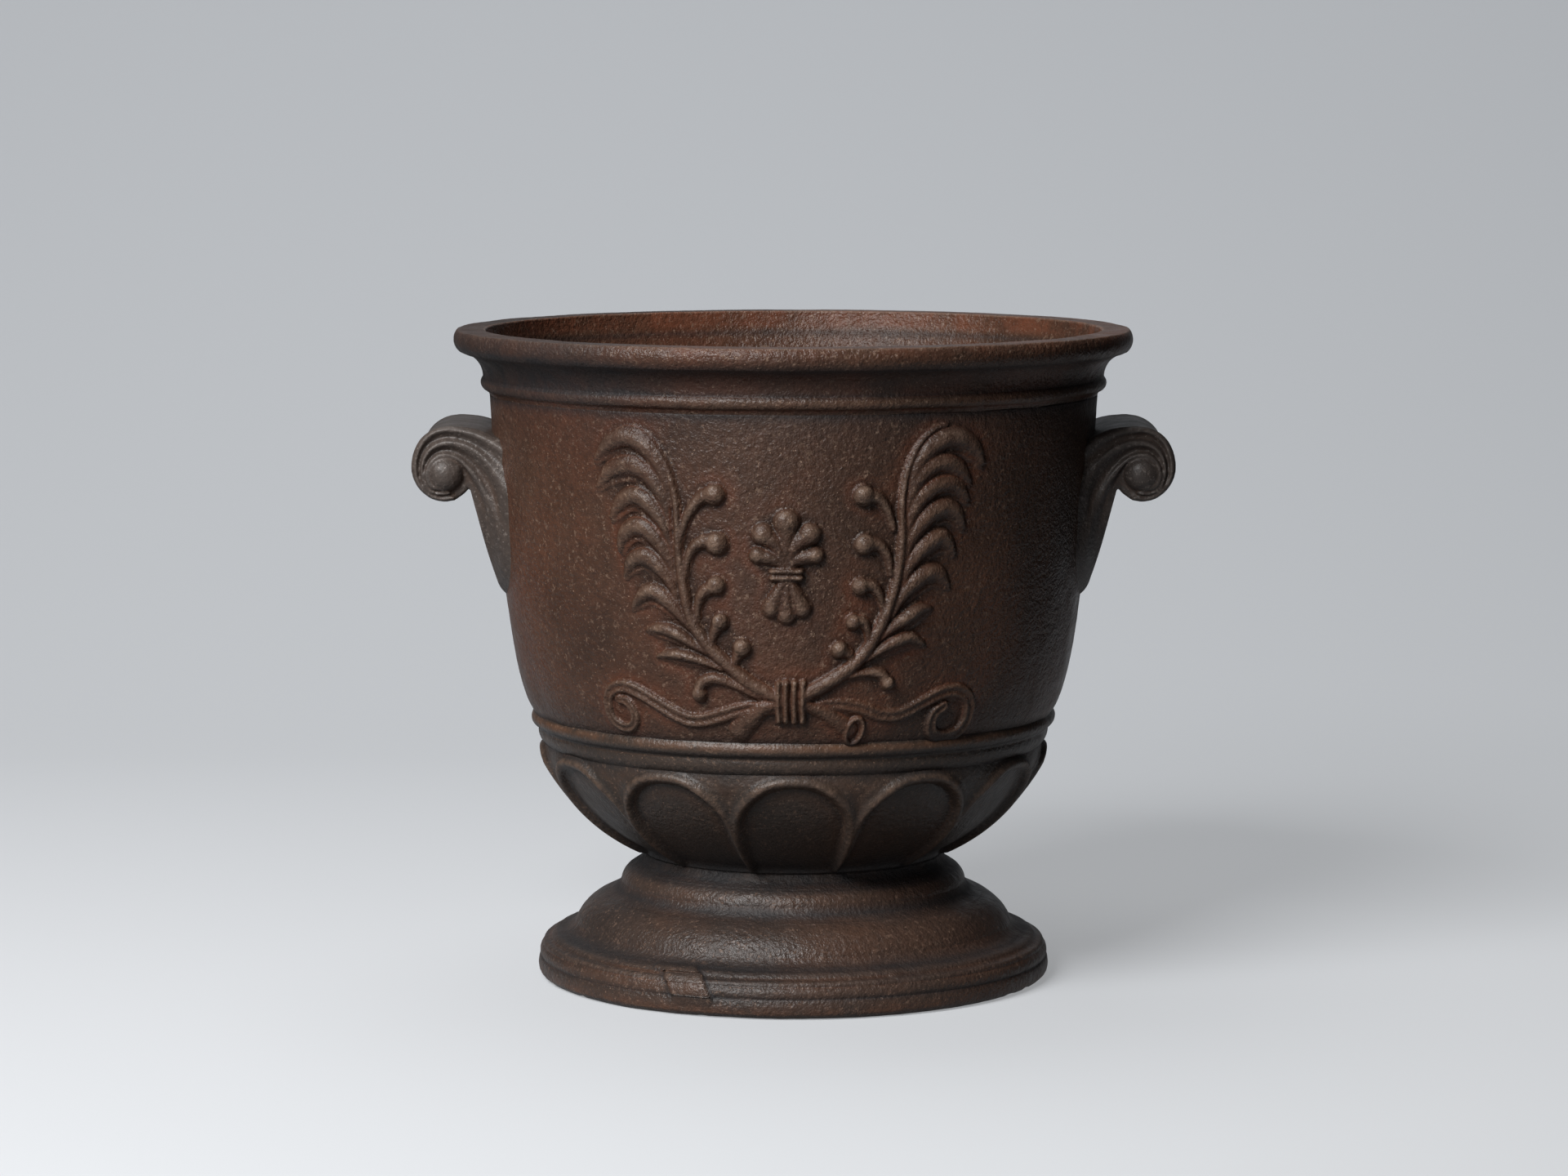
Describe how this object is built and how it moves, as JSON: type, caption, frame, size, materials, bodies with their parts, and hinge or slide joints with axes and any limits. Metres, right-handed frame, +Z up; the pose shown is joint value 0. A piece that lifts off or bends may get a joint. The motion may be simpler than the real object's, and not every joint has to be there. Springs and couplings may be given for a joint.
{
  "type": "urn planter",
  "caption": "Cast-iron garden urn on a hollow round foot, with scroll handles, a gadrooned cup and an open bowl to plant in.",
  "frame": {"origin": "centre of the circle that the foot stands on, at floor level", "axes": "+Z up, X through the two handles, the front relief faces -Y"},
  "size_m": [0.4868, 0.437, 0.42],
  "materials": {
    "bowl_iron": "sand cast, dark brown patina with rusty patches and a slight wax sheen",
    "foot_iron": "sand cast, dark grey-brown patina, worn on the raised mouldings",
    "handle_iron": "smoother casting, grey-brown, worn bright along the ridges",
    "fixing_steel": "dull steel, browned with rust"
  },
  "bodies": {
    "root": {"bowl": "bowl_iron", "foot": "foot_iron", "handle_right": "handle_iron", "handle_left": "handle_iron", "tie_bolt": "fixing_steel", "tie_nut": "fixing_steel", "tie_washer_bowl": "fixing_steel", "tie_washer_foot": "fixing_steel", "handle_screw_right_upper": "fixing_steel", "handle_screw_right_lower": "fixing_steel", "handle_screw_left_upper": "fixing_steel", "handle_screw_left_lower": "fixing_steel", "handle_washer_right_upper": "fixing_steel", "handle_washer_right_lower": "fixing_steel", "handle_washer_left_upper": "fixing_steel", "handle_washer_left_lower": "fixing_steel"}
  },
  "joints": []
}
